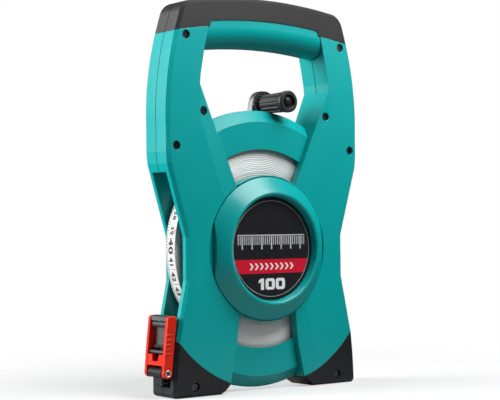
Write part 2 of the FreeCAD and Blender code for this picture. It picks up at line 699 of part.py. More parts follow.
def leaning_rod(label, radius, length):
    """A cylinder along X, centred on the crank's own origin."""
    made = rod(label + "_rod", radius, length, (f"-({length}) / 2", "0", "0"), along=(1, 0, 0))
    return grouped(label, [made])


# ---------------------------------------------------------------- crank and knob

def crank_arm():
    """Flat arm from the fold hinge to a round end that carries the knob's spindle."""
    blade = new_body("arm_blade")
    length = value("dims.crank_length")
    end = 9.3
    right = [(6.0, 0.0), (6.0, 12.0), (7.6, 24.0), (end, 92.0), (end, length)]
    outline = right + [Via((0, length + end))] + mirrored(right)
    pad(blade, draw(new_sketch(blade, "XZ", up="0"), outline), "dims.arm_thickness", both=True)
    dress(blade, "Fillet", "1.2", lambda edge, mid: abs(abs(mid.y) - value("dims.arm_thickness / 2")) < 1e-3
          and mid.z + value("dims.hub_height") > 13.0)
    waist = [(-5.2, 22.0), (5.2, 22.0), (6.4, 86.0), (-6.4, 86.0)]
    cut(blade, draw(new_sketch(blade, "XZ", up="0", out="-dims.arm_thickness / 2"), waist), "1.4", FRONT)
    cut(blade, draw_circles(new_sketch(blade, "XZ", up="0"), "dims.spindle_radius", [(0, length)]), both=True)
    eye = leaning_rod("arm_eye", "dims.arm_thickness / 2", "12")
    bore = leaning_rod("arm_bore", "dims.hinge_radius + dims.running_gap", "30")
    return on_lean(less("crank_arm", joined("arm_body", [blade, eye]), bore))


def at_knob(label, profile):
    """A round piece about the knob's axis, placed with the crank."""
    body = new_body(label + "_body")
    turn(body, draw_bound(new_sketch(body, "YZ", up="dims.crank_length"), profile))
    return body


def knob_end(far=True):
    """Where the knob's sleeve ends along Y, away from the arm or against its collar."""
    length = " - dims.knob_length" if far else ""
    return f"(-dims.arm_thickness / 2 - dims.collar_thickness - dims.knob_gap{length})"


def knob_spindle():
    """Fixed axle of the knob, with a wide collar against the arm and a riveted end behind it."""
    front, back = "-dims.arm_thickness / 2", "dims.arm_thickness / 2"
    collar = f"{front} - dims.collar_thickness"
    tip = f"{knob_end()} + 4"
    return on_lean(grouped("knob_spindle", [at_knob("knob_spindle", [
        (tip, "0"), (tip, "dims.spindle_radius"), (collar, "dims.spindle_radius"),
        (collar, "dims.collar_radius - 0.6"), (f"{collar} + 0.6", "dims.collar_radius"),
        (front, "dims.collar_radius"), (front, "dims.spindle_radius"), (back, "dims.spindle_radius"),
        (back, "4"), (f"{back} + 0.9", "3.2"), (f"{back} + 0.9", "0")])]))


def knob_sleeve():
    """Fluted grip that turns on the spindle, flared into a smooth rim at its free end."""
    near, far = knob_end(far=False), knob_end()
    bore = "dims.spindle_radius + dims.running_gap"
    body = at_knob("knob_sleeve", [
        (near, bore), (near, "dims.knob_small - 0.6"), (f"{near} - 0.6", "dims.knob_small"),
        (f"{far} + 5.4", "dims.knob_small + 0.4"), (f"{far} + 3.6", "dims.knob_large"),
        (f"{far} + 0.8", "dims.knob_large"), (far, "dims.knob_large - 0.8"), (far, "dims.knob_recess + 0.4"),
        (f"{far} + 0.4", "dims.knob_recess"), (f"{far} + 2.4", "dims.knob_recess"), (f"{far} + 2.4", bore)])
    sketch = new_sketch(body, "XZ", up="dims.crank_length", out=f"-{near}")
    flute = cut(body, draw_circles(sketch, "dims.flute_radius", [(0, value("dims.knob_small + 0.7"))]),
                "dims.knob_length - 5.6", FRONT)
    ring = body.newObject("PartDesign::PolarPattern", "flutes")
    ring.Originals = [flute]
    ring.Axis = (flute.Profile[0], ["N_Axis"])
    ring.Angle, ring.Occurrences = 360.0, 14
    body.Tip = ring
    doc.recompute()
    return on_lean(grouped("knob_sleeve", [body]))


def knob_button():
    """Domed plug standing in the recess of the knob's free end."""
    far = knob_end()
    return on_lean(grouped("knob_button", [at_knob("knob_button", [
        (f"{far} + 2.4", "0"), (f"{far} + 2.4", "3"), (f"{far} + 1.3", "3"), (f"{far} + 0.7", "2.4"),
        (f"{far} + 0.4", "1.2"), (f"{far} + 0.3", "0")])]))


# ---------------------------------------------------------------- tape end and hook

def lead_point(along, lift=0.0):
    """Point on the tape's straight run: along from where it leaves the coil, lift above the run."""
    angle = math.radians(LEAD_ANGLE)
    leave = math.radians(LEAD_ANGLE + 90)
    radius = value("dims.coil_radius + dims.lead_gap + dims.lead_thickness / 2")
    start = radius * math.cos(leave), radius * math.sin(leave)
    return (start[0] + along * math.cos(angle) + lift * math.sin(angle),
            start[1] + along * math.sin(angle) - lift * math.cos(angle))


LEAD_LENGTH = 91.0
TONGUE_START, TONGUE_END = 80.0, 92.5
RIVETS = (83.0, 88.0)


def strip(body, start, end, low, high, half_width):
    """A flat band along the tape's run."""
    corners = [lead_point(start, low), lead_point(end, low), lead_point(end, high), lead_point(start, high)]
    return pad(body, draw(new_sketch(body, "XZ"), corners), f"2 * ({half_width})", both=True)


def tape_lead(rivets):
    """The tape from the coil to its end piece, pierced by the rivets."""
    body = new_body("lead_strip")
    half = value("dims.lead_thickness / 2")
    strip(body, 0.0, LEAD_LENGTH, -half, half, "dims.coil_width / 2")
    return less("tape_lead", body, rivets)


def tape_clamp(rivets):
    """Black end piece: a tongue over the tape, a neck and the barrel of the hook's hinge."""
    tongue = new_body("clamp_tongue")
    half = value("dims.lead_thickness / 2")
    strip(tongue, TONGUE_START, TONGUE_END, half, half + 1.2, "dims.tongue_half_width")
    neck = new_body("clamp_neck")
    pin = value("dims.pin_across"), value("dims.pin_down")
    heel = lead_point(TONGUE_END + 2.0, -1.0)
    throat = lead_point(TONGUE_END - 1.2, half + 0.8)
    corners = [(pin[0] - 0.6, pin[1]), (pin[0] - 0.6, heel[1] + 0.4), lead_point(LEAD_LENGTH + 0.2, -0.9),
               lead_point(LEAD_LENGTH + 0.2, half + 0.6), (throat[0], throat[1] + 1.0), (throat[0], pin[1])]
    pad(neck, draw(new_sketch(neck, "XZ"), corners), "2 * (dims.tongue_half_width - 1)", both=True)
    barrel = rod("clamp_barrel", "dims.barrel_radius", "2 * dims.clamp_half_width",
                 pin_start("clamp_half_width"))
    bore = rod("clamp_bore", "dims.pin_radius", "40",
               ("dims.pin_across", -20, "dims.hub_height + dims.pin_down"))
    holes = joined("clamp_holes", [bore, rivets])
    return less("tape_clamp", joined("clamp_body", [tongue, neck, barrel]), holes)


def pin_start(half):
    return "dims.pin_across", f"-dims.{half}", "dims.hub_height + dims.pin_down"


def clamp_rivets():
    made = []
    normal = math.radians(LEAD_ANGLE - 90)
    for k, along in enumerate(RIVETS):
        for j, across in enumerate((-3.0, 3.0)):
            body = new_body(f"rivet_{k}_{j}")
            turn_sketch = new_sketch(body, "XY", up="0")
            draw_circles(turn_sketch, "0.8")
            pad(body, turn_sketch, "2.0", REAR, both=True)
            spot = lead_point(along, 0.5)
            upright = Rotation(Vector(0, 0, 1), Vector(math.cos(normal), 0, math.sin(normal)))
            body.Placement = Placement(Vector(spot[0], across, spot[1] + value("dims.hub_height")), upright)
            made.append(body)
    return grouped("clamp_rivets", made)


def hook_pin():
    half = "dims.hook_half_width"
    return grouped("hook_pin", [rod("hook_pin_rod", "dims.pin_radius", f"2 * ({half} - 0.1)",
                                    ("dims.pin_across", f"0.1 - {half}", "dims.hub_height + dims.pin_down"))])


HOOK_CHEEK = [(-82.4, -76.6), (-82.1, -72.5), (-81.2, -62.0), (-79.2, -44.0), Via((-78.5, -42.3)),
              (-76.9, -41.7), (-74.2, -41.7), Via((-73.0, -42.2)), (-72.4, -43.4), (-74.2, -60.0),
              (-75.4, -71.0), (-75.9, -76.6)]
LOW_BEAM = [(-82.0, -73.0), (-81.3, -66.2), (-79.9, -65.9), (-79.4, -68.4), (-77.2, -68.4), (-77.2, -73.0)]


def hook_frame(cross_pins):
    """Red frame of the end hook: two cheeks with lugs on the pin, and a lipped beam between them."""
    pieces = []
    pin = value("dims.pin_across"), value("dims.pin_down")
    for side in (FRONT, REAR):
        cheek = new_body(f"hook_cheek_{side + 1}")
        inner = f"{side} * (dims.hook_half_width - dims.hook_cheek)"
        pad(cheek, draw(new_sketch(cheek, "XZ", out=inner), HOOK_CHEEK), "dims.hook_cheek", side)
        pad(cheek, draw_circles(new_sketch(cheek, "XZ", out=inner), "dims.lug_radius", [pin]),
            "dims.hook_cheek", side)
        dress(cheek, "Fillet", "0.6", lambda edge, mid: abs(abs(mid.y) - value("dims.hook_half_width")) < 1e-3
              and mid.z < 0)
        pieces.append(cheek)
    beam = new_body("hook_beam")
    pad(beam, draw(new_sketch(beam, "XZ"), LOW_BEAM),
        "2 * (dims.hook_half_width - dims.hook_cheek + 0.5)", both=True)
    gap = [(-3.2, -70.4), (3.2, -70.4), (4.6, -60.0), (-4.6, -60.0)]
    cut(beam, draw(new_sketch(beam, "YZ", out="-85"), gap), "30", FRONT)
    pieces.append(beam)
    bore = rod("hook_bore", "dims.pin_radius + dims.running_gap", "40",
               ("dims.pin_across", -20, "dims.hub_height + dims.pin_down"))
    return less("hook_frame", joined("hook_body", pieces), joined("hook_holes", [bore, *cross_pins]))


def hook_bridge():
    """Grey grooved bar that closes the top of the hook's frame."""
    body = new_body("hook_bridge")
    outline = [(-78.7, -44.7), (-78.3, -42.2), Via((-77.6, -41.6)), (-76.6, -41.4), (-73.6, -41.4),
               (-73.2, -44.7)]
    pad(body, draw(new_sketch(body, "XZ"), outline), "2 * (dims.hook_half_width - dims.hook_cheek)",
        both=True)
    grooves = [[(y - 0.3, -50.0), (y + 0.3, -50.0), (y + 0.3, -40.0), (y - 0.3, -40.0)]
               for y in (-7.0, -5.0, -3.0, -1.0, 1.0, 3.0, 5.0, 7.0)]
    cut(body, draw(new_sketch(body, "YZ", out="-78.0"), *grooves), "3", FRONT)
    return body


def claw():
    """Steel claw: a barrel on its own pin and a plate folded down inside the frame."""
    half = "(dims.hook_half_width - dims.hook_cheek - 0.4)"
    barrel = rod("claw_barrel_rod", "dims.claw_barrel", f"2 * {half}",
                 ("dims.claw_across", f"-{half}", "dims.hub_height + dims.claw_down"))
    plate = new_body("claw_plate")
    outline = [(-75.4, -47.8), (-76.2, -60.0), (-78.0, -61.2), (-77.6, -62.0), (-75.2, -60.8), (-74.5, -47.2)]
    pad(plate, draw(new_sketch(plate, "XZ"), outline), f"2 * ({half} - 1)", both=True)
    bore = rod("claw_bore", "dims.claw_pin_radius + dims.running_gap", "40",
               ("dims.claw_across", -20, "dims.hub_height + dims.claw_down"))
    return less("claw", joined("claw_body", [barrel, plate]), bore)


def hook_cross_pins():
    """The claw's pin and the light cross pin above the beam, both fixed in the cheeks."""
    half = "(dims.hook_half_width - 0.6)"
    spots = {"claw_pin": ("dims.claw_pin_radius", "dims.claw_across", "dims.claw_down"),
             "hook_cross_pin": ("1.1", "-79.3", "-64.6")}
    made = []
    for label, (radius, across, up) in spots.items():
        start = (across, f"-{half}", f"dims.hub_height + {up}")
        made.append(grouped(label, [rod(label + "_rod", radius, f"2 * {half}", start)]))
    return made


# ---------------------------------------------------------------- the whole

def casing_parts():
    parts = [shell("front_shell", FRONT), shell("rear_shell", REAR), grip("front_grip", FRONT),
             grip("rear_grip", REAR)]
    for end, side in (("front", FRONT), ("rear", REAR)):
        for hand_name, hand in (("left", -1), ("right", 1)):
            parts.append(foot(f"{hand_name}_{end}_foot", side, hand))
    return parts + [casing_screws(), hub_cap(), hub_label(),
                    bush("front_bush", FRONT, "dims.front_journal", "dims.hub_inside - 0.3",
                         "dims.casing_depth / 2 - dims.seat_depth"),
                    bush("rear_bush", REAR, "dims.rear_journal", "dims.hub_inside - 0.3",
                         "dims.hub_flange_in - 0.3"),
                    drag_washers(), crank_cover(), cover_screws(), mouth_guides()]


def reel_parts():
    return [reel_drum(), tape_coil(), crank_hub(), axle_screw(), crank_pin()]


def crank_parts():
    return [crank_arm(), knob_spindle(), knob_sleeve(), knob_button()]


def end_parts():
    rivets, cross_pins = clamp_rivets(), hook_cross_pins()
    return [tape_lead(rivets), tape_clamp(rivets), rivets, hook_pin(), hook_frame(cross_pins), hook_bridge(),
            claw(), *cross_pins]


def check_and_write(parts):
    doc.recompute()
    for thing in doc.Objects:
        assert not {"Invalid", "Error"} & set(thing.State), f"{thing.Label}: {thing.State}"
    os.makedirs("parts", exist_ok=True)
    for part in parts:
        shape = part.Shape
        assert not shape.isNull() and shape.isValid() and shape.Solids, part.Label
        shape.exportStep(f"parts/{part.Label}.step")
        box = shape.BoundBox
        spans = "  ".join(f"{axis} {low:7.1f} {high:7.1f}" for axis, low, high in (
            ("x", box.XMin, box.XMax), ("y", box.YMin, box.YMax), ("z", box.ZMin, box.ZMax)))
        print(f"{part.Label:18s} solids {len(shape.Solids)} volume {shape.Volume / 1000:8.2f} cm3  {spans}")


check_and_write(casing_parts() + reel_parts() + crank_parts() + end_parts())
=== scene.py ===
"""Looks of the surveyor's tape reel: materials, studio, wound tape and print, label, hook."""
import json
import math
import random

import bmesh
import bpy
from mathutils import Matrix, Vector


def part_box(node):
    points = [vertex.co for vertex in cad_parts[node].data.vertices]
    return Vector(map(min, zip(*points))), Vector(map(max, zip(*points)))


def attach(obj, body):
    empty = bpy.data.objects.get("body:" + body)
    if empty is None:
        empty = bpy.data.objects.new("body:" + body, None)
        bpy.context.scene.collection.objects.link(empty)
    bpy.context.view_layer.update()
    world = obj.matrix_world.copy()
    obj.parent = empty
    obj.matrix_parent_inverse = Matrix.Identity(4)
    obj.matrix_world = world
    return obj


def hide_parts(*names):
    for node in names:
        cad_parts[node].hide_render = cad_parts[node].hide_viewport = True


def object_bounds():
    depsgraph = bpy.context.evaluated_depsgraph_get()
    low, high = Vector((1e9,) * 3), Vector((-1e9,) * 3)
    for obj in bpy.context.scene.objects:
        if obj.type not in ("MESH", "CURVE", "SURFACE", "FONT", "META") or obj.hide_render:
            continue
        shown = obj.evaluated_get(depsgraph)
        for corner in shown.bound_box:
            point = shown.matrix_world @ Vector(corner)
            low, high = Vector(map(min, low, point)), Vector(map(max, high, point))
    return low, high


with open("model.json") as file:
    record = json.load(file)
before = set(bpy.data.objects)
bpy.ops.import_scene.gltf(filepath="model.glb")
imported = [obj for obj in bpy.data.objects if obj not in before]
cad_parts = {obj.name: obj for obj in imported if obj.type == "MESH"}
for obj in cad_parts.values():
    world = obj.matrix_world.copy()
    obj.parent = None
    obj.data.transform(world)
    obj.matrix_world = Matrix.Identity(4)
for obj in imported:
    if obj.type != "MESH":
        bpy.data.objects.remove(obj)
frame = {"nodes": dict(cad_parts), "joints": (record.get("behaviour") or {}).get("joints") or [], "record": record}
CAD_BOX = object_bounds()
MM = 0.001
CM = 10 * MM
random.seed(7)

HUB_Z = next(j["pos_m"][2] for j in frame["joints"] if j["name"] == "reel_spin")
COIL_LOW, COIL_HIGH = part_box("tape_coil")
COIL_RADIUS = (COIL_HIGH[0] - COIL_LOW[0]) / 2
COIL_HALF_WIDTH = (COIL_HIGH[1] - COIL_LOW[1]) / 2
CORE_RADIUS = 26.0 * MM
LABEL_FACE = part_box("hub_label")[0][1]


# ---------------------------------------------------------------- materials

PAINTED_SHADE_REACH = 1.6 * MM      # painted shade darkens grooves and inner corners within this distance
COIL_SHADE_REACH = 9.0 * MM   # the same painted shade for the coil, which sits deep between the halves
WORN_EDGE = 0.5 * MM
# paler band along metal edges: wear, and on the blackened steel a painted highlight
RUBBED_GLINT_EDGE = 0.3 * MM
MOULDED_ROUNDING = 0.45 * MM
MOULDED_GRAIN = 2600.0        # texture scales are per metre
RUBBER_CELLS = 1500.0
METAL_STREAKS = 700.0
STREAK_STRETCH = (1.0, 0.08, 1.0)
TURN_RINGS = 1900.0
GRIME_START = 4.3 * MM        # from the middle of the tape towards its edges


class NodeMaterial:
    """A material under construction: its shader, and short ways to add and join nodes."""

    def __init__(self, name):
        self.data = bpy.data.materials.new(name)
        self.data.use_nodes = True
        self.tree = self.data.node_tree
        self.shader = self.tree.nodes["Principled BSDF"]
        self.place = self.tree.nodes.new("ShaderNodeTexCoord").outputs["Object"]

    def node(self, kind, sockets=None, **settings):
        """Add a node with its own settings, and join or set the sockets that are given."""
        made = self.tree.nodes.new(f"ShaderNode{kind}")
        for name, setting in settings.items():
            setattr(made, name, setting)
        for name, source in (sockets or {}).items():
            self.put(made.inputs[name], source)
        return made

    def join(self, output, target):
        self.tree.links.new(output, target)

    def put(self, target, source):
        """Join an output, or set a plain value."""
        if isinstance(source, bpy.types.NodeSocket):
            self.join(source, target)
        else:
            target.default_value = source

    def drive(self, name, source):
        """Join an output to one of the shader's sockets, or set a plain value on it."""
        self.put(self.shader.inputs[name], source)

    def noise(self, scale, detail=3.0, roughness=0.55, distortion=0.0, place=None):
        made = self.node("TexNoise", {"Scale": scale, "Detail": detail, "Roughness": roughness,
                                      "Distortion": distortion, "Vector": place or self.place})
        return made.outputs["Fac"]

    def spread(self, source, low, high, start=0.3, end=0.7):
        """Map start..end of a pattern onto low..high."""
        made = self.node("MapRange", {"Value": source, "From Min": start, "From Max": end,
                                      "To Min": low, "To Max": high})
        return made.outputs["Result"]

    def blend(self, factor, first, second):
        """Mix two colours or sockets by a factor."""
        made = self.node("Mix", data_type="RGBA")
        self.put(made.inputs["Factor"], factor)
        self.put(made.inputs[6], first)
        self.put(made.inputs[7], second)
        return made.outputs[2]

    def math(self, operation, first, second=0.0):
        return self.node("Math", {0: first, 1: second}, operation=operation).outputs[0]

    def bump(self, height, distance, after=None):
        """Height as a bump, on top of another normal where one is given."""
        made = self.node("Bump", {"Strength": 1.0, "Distance": distance, "Height": height})
        if after is not None:
            self.join(after, made.inputs["Normal"])
        return made.outputs["Normal"]

    def rounded(self, radius):
        """The surface's normal, turned smoothly round sharp edges."""
        return self.node("Bevel", {"Radius": radius}, samples=6).outputs["Normal"]

    def edge(self, radius):
        """Near 0 on flat faces, rising towards 1 along sharp edges."""
        flat = self.node("NewGeometry").outputs["Normal"]
        dot = self.node("VectorMath", operation="DOT_PRODUCT")
        self.join(self.rounded(radius), dot.inputs[0])
        self.join(flat, dot.inputs[1])
        return self.spread(dot.outputs["Value"], low=1.0, high=0.0, start=0.8, end=0.99)

    def open_air(self, reach):
        """1 on open faces, falling to 0 inside grooves and along inner corners: the mask of painted shade."""
        made = self.node("AmbientOcclusion", {"Distance": reach}, samples=8)
        return self.spread(made.outputs["AO"], low=0.0, high=1.0, start=0.3, end=0.85)

    def along(self, axis):
        """One coordinate of the point, on its own."""
        return self.node("SeparateXYZ", {"Vector": self.place}).outputs[axis]


def shade(colour, factor=1.0, add=0.0):
    """A colour made lighter or darker, as RGBA."""
    return (*(min(1.0, (add + c) * factor) for c in colour), 1.0)


def moulded(name, colour, roughness=0.32, depth=0.012 * MM, wear=0.35, specular=0.5):
    """Moulded plastic: spark-eroded grain, uneven sheen, painted shade in grooves and paler worn edges."""
    m = NodeMaterial(name)
    cloud = m.spread(m.noise(9.0, detail=2.0), low=0.0, high=1.0)
    tone = m.blend(cloud, shade(colour, 0.94), shade(colour, 1.06))
    # painted shade: darker in grooves and inner corners
    tone = m.blend(m.open_air(PAINTED_SHADE_REACH), shade(colour, 0.3), tone)
    edge = m.edge(WORN_EDGE)
    scuffs = m.spread(m.noise(160.0, detail=4.0), low=0.0, high=wear, start=0.42, end=0.62)
    worn = m.math("MULTIPLY", edge, scuffs)
    m.drive("Base Color", m.blend(worn, tone, shade([0.9 * c for c in colour], 1.25, add=0.12)))
    smudge = m.noise(38.0, detail=4.0, roughness=0.6)
    m.drive("Roughness", m.spread(smudge, low=roughness - 0.025, high=roughness + 0.04))
    m.drive("Specular IOR Level", specular)
    grain = m.noise(MOULDED_GRAIN, detail=2.0, roughness=0.5)
    m.drive("Normal", m.bump(grain, depth, after=m.rounded(MOULDED_ROUNDING)))
    return m.data


def rubber(name, colour, roughness):
    """Matt rubber: leathery grain, a little dust in it, and painted shade in grooves."""
    m = NodeMaterial(name)
    cells = m.node("TexVoronoi", {"Scale": RUBBER_CELLS, "Vector": m.place})
    dust = m.noise(55.0, detail=5.0, roughness=0.65)
    dust = m.spread(dust, low=0.0, high=0.5, start=0.5, end=0.8)
    tone = m.blend(dust, shade(colour), shade(colour, 1.7))
    # painted shade: darker in grooves and inner corners
    m.drive("Base Color", m.blend(m.open_air(PAINTED_SHADE_REACH), shade(colour, 0.2), tone))
    m.drive("Roughness", m.spread(m.noise(24.0), low=roughness - 0.06, high=roughness + 0.06))
    m.drive("Specular IOR Level", 0.5)
    m.drive("Normal", m.bump(cells.outputs["Distance"], 0.015 * MM))
    return m.data


def metal(name, colour, roughness, metallic=1.0, rub_and_glint=1.9):
    """Turned or coated metal with fine drawn streaks and paler edges: wear, and on the blackened steel a painted
    highlight.
    """
    m = NodeMaterial(name)
    stretched = m.node("Mapping", {"Scale": STREAK_STRETCH, "Vector": m.place})
    streaks = m.noise(METAL_STREAKS, roughness=0.6, place=stretched.outputs["Vector"])
    # paler edges: wear, and on the blackened steel a painted highlight
    rubbed_and_glint = m.math("MULTIPLY", m.edge(RUBBED_GLINT_EDGE), 0.5)
    tone = m.blend(m.spread(streaks, low=0.0, high=1.0), shade(colour, 0.85), shade(colour, 1.15))
    m.drive("Base Color", m.blend(rubbed_and_glint, tone, shade(colour, rub_and_glint)))
    m.drive("Roughness", m.spread(streaks, low=roughness - 0.07, high=roughness + 0.08))
    m.drive("Metallic", metallic)
    m.drive("Normal", m.bump(streaks, 0.006 * MM))
    return m.data


def tape_band():
    """White enamelled band: slight waviness, handling marks and grime along its edges."""
    m = NodeMaterial("tape_white")
    from_middle = m.math("ABSOLUTE", m.along("Y"))
    rim = m.spread(from_middle, low=0.0, high=1.0, start=GRIME_START, end=COIL_HALF_WIDTH)
    marks = m.noise(300.0, detail=5.0, roughness=0.7)
    marks = m.spread(marks, low=0.0, high=0.35, start=0.55, end=0.75)
    grime = m.math("MAXIMUM", m.math("MULTIPLY", rim, 0.45), marks)
    m.drive("Base Color", m.blend(grime, (0.68, 0.68, 0.665, 1.0), (0.42, 0.41, 0.38, 1.0)))
    m.drive("Roughness", m.spread(m.noise(90.0), low=0.3, high=0.42))
    m.drive("Normal", m.bump(m.noise(120.0, detail=2.0), 0.02 * MM))
    return m.data


def tape_edges():
    """Edges of the wound turns: fine pale rings, darker where the halves shade them."""
    m = NodeMaterial("tape_turns")
    across = m.along("X")
    up = m.math("SUBTRACT", m.along("Z"), HUB_Z)
    squares = m.math("ADD", m.math("MULTIPLY", across, across), m.math("MULTIPLY", up, up))
    radius = m.math("SQRT", squares)
    rings = m.node("TexNoise", noise_dimensions="1D")
    m.put(rings.inputs["Scale"], TURN_RINGS)
    m.put(rings.inputs["Detail"], 4.0)
    m.put(rings.inputs["W"], radius)
    fine = m.spread(rings.outputs["Fac"], low=0.0, high=1.0, start=0.35, end=0.65)
    broad = m.spread(m.noise(20.0), low=0.0, high=0.25)
    tone = m.blend(fine, (0.62, 0.62, 0.615, 1.0), (0.86, 0.86, 0.855, 1.0))
    tone = m.blend(broad, tone, (0.6, 0.6, 0.59, 1.0))
    # painted shade: darker where the casing halves overhang the coil
    m.drive("Base Color", m.blend(m.open_air(COIL_SHADE_REACH), (0.22, 0.22, 0.22, 1.0), tone))
    m.drive("Roughness", m.spread(fine, low=0.34, high=0.5, start=0.0, end=1.0))
    m.drive("Metallic", 0.1)
    m.drive("Normal", m.bump(fine, 0.008 * MM))
    return m.data


def ink(name, colour, roughness=0.5):
    """Printed ink with uneven cover."""
    m = NodeMaterial(name)
    cover = m.spread(m.noise(900.0), low=0.0, high=0.3, start=0.5, end=0.8)
    m.drive("Base Color", m.blend(cover, shade(colour), shade(colour, 1.25, add=0.03)))
    m.drive("Roughness", m.spread(m.noise(150.0), low=roughness - 0.05, high=roughness + 0.05))
    return m.data


def film(name, colour):
    """Printed label film: smooth, with light handling scratches."""
    m = NodeMaterial(name)
    scuff = m.noise(260.0, detail=6.0, roughness=0.5, distortion=1.6)
    scuff = m.spread(scuff, low=0.0, high=0.3, start=0.6, end=0.78)
    m.drive("Base Color", m.blend(scuff, shade(colour), shade(colour, 1.4, add=0.02)))
    m.drive("Roughness", m.spread(m.noise(30.0, detail=4.0), low=0.24, high=0.34))
    m.drive("Normal", m.bump(m.noise(90.0, detail=1.0), 0.02 * MM))
    return m.data


TEAL = (0.0, 0.335, 0.330)
NEAR_BLACK = (0.010, 0.011, 0.0125)
RUBBER_BLACK = (0.017, 0.017, 0.018)
HOOK_RED = (0.66, 0.018, 0.004)
BLACKENED = (0.08, 0.08, 0.082)
DULL_STEEL = (0.19, 0.19, 0.195)
NICKEL = (0.72, 0.71, 0.69)
DARK_GREY = (0.07, 0.073, 0.076)
IVORY = (0.55, 0.55, 0.53)
FILM_BLACK = (0.012, 0.012, 0.015)
FILM_RED = (0.62, 0.008, 0.03)
INK_BLACK = (0.012, 0.012, 0.013)
INK_RED = (0.55, 0.02, 0.02)
INK_WHITE = (0.8, 0.8, 0.8)
INK_SILVER = (0.68, 0.68, 0.69)


def make_materials():
    """The materials of the record's slots, and those that only the added pieces use."""
    return {
        "teal_plastic": moulded("teal_plastic", TEAL, 0.3, wear=0.22, specular=0.36),
        "black_rubber": rubber("black_rubber", RUBBER_BLACK, 0.42),
        "black_plastic": moulded("black_plastic", NEAR_BLACK, 0.36, wear=0.2, specular=0.4),
        # very pale edges on the blackened steel: a painted highlight on the screws
        "black_steel": metal("black_steel", BLACKENED, 0.24, metallic=0.9, rub_and_glint=9.0),
        "bright_steel": metal("bright_steel", DULL_STEEL, 0.5),
        "nickel": metal("nickel", NICKEL, 0.3),
        "grey_metal": metal("grey_metal", DARK_GREY, 0.4, metallic=0.4),
        "red_plastic": moulded("red_plastic", HOOK_RED, 0.3, depth=0.006 * MM, wear=0.08,
                               specular=0.35),
        "acetal": moulded("acetal", IVORY, 0.45),
        "tape": tape_band(),
        "label": film("label_black", FILM_BLACK),
        "turns": tape_edges(),
        "ink_black": ink("ink_black", INK_BLACK),
        "ink_red": ink("ink_red", INK_RED),
        "print_red": film("print_red", FILM_RED),
        "print_white": ink("print_white", INK_WHITE, 0.35),
        "print_silver": metal("print_silver", INK_SILVER, 0.4, metallic=0.3),
    }


def dress_nodes(materials):
    """Give every CAD node the material of its slot."""
    slots = {entry["node"]: entry["material_slot"] for entry in frame["record"]["subparts"]}
    for name, node in frame["nodes"].items():
        node.data.materials.clear()
        node.data.materials.append(materials[slots[name]])


# ---------------------------------------------------------------- camera, light and floor

CAMERA_AZIMUTH, CAMERA_ELEVATION, CAMERA_ROLL = -37.043, -1.036, -0.567  # degrees
CAMERA_DISTANCE = 0.91276
CAMERA_TARGET = Vector((-14.8, -13.4, 126.2)) * MM
CAMERA_LENS, SENSOR_WIDTH = 99.68, 36.0  # millimetres, as Blender's camera has them
CLIP_START, CLIP_END = 0.01, 20.0

# name, place, (width, height), watts
SOFTBOXES = [
    ("left_softbox", (-1.18, 0.60, 0.62), (0.9, 1.0), 38.0),
    ("right_softbox", (0.78, -0.80, 0.52), (0.3, 0.3), 0.6),
    ("top_softbox", (0.14, -0.29, 0.585), (0.4, 0.3), 5.0),
]
SOFTBOX_AIM = Vector((0.0, 0.0, 0.13))
FILL_COLOUR, FILL_STRENGTH = (0.93, 0.97, 1.0, 1.0), 0.06
WHITE = (1.0, 1.0, 1.0, 1.0)

FLOOR_TONE = 0.38
FLOOR_GLOW = 0.45
FLOOR_REACH = 0.34
FLOOR_FADE_START, FLOOR_FADE_END = 0.1, 0.32
FLOOR_GAP = 0.2 * MM


def add_camera():
    azimuth, elevation, roll = map(math.radians, (CAMERA_AZIMUTH, CAMERA_ELEVATION, CAMERA_ROLL))
    back = Vector((math.sin(azimuth) * math.cos(elevation),
                   -math.cos(azimuth) * math.cos(elevation), math.sin(elevation)))
    right = (-back).cross(Vector((0, 0, 1))).normalized()
    up = back.cross(right)
    turned_right = right * math.cos(roll) + up * math.sin(roll)
    turned_up = up * math.cos(roll) - right * math.sin(roll)
    turn = Matrix((turned_right, turned_up, back)).transposed().to_4x4()
    data = bpy.data.cameras.new("camera")
    data.lens, data.sensor_width = CAMERA_LENS, SENSOR_WIDTH
    data.clip_start, data.clip_end = CLIP_START, CLIP_END
    camera = bpy.data.objects.new("camera", data)
    camera.matrix_world = Matrix.Translation(CAMERA_TARGET + back * CAMERA_DISTANCE) @ turn
    bpy.context.scene.collection.objects.link(camera)
    bpy.context.scene.camera = camera


def add_softbox(name, spot, size, power):
    data = bpy.data.lights.new(name, "AREA")
    data.shape, data.size, data.size_y = "RECTANGLE", size[0], size[1]
    data.energy = power
    lamp = bpy.data.objects.new(name, data)
    turn = (SOFTBOX_AIM - Vector(spot)).to_track_quat("-Z", "Y").to_matrix().to_4x4()
    lamp.matrix_world = Matrix.Translation(spot) @ turn
    bpy.context.scene.collection.objects.link(lamp)


def add_world():
    """White to the eye, a dim even fill for the object."""
    world = bpy.data.worlds.new("studio")
    world.use_nodes = True
    tree = world.node_tree
    seen, fill = tree.nodes["Background"], tree.nodes.new("ShaderNodeBackground")
    fill.inputs["Color"].default_value = FILL_COLOUR
    fill.inputs["Strength"].default_value = FILL_STRENGTH
    seen.inputs["Color"].default_value = WHITE
    mix, path = tree.nodes.new("ShaderNodeMixShader"), tree.nodes.new("ShaderNodeLightPath")
    tree.links.new(path.outputs["Is Camera Ray"], mix.inputs["Fac"])
    tree.links.new(fill.outputs["Background"], mix.inputs[1])
    tree.links.new(seen.outputs["Background"], mix.inputs[2])
    tree.links.new(mix.outputs["Shader"], tree.nodes["World Output"].inputs["Surface"])
    bpy.context.scene.world = world
    bpy.context.scene.view_settings.view_transform = "Standard"


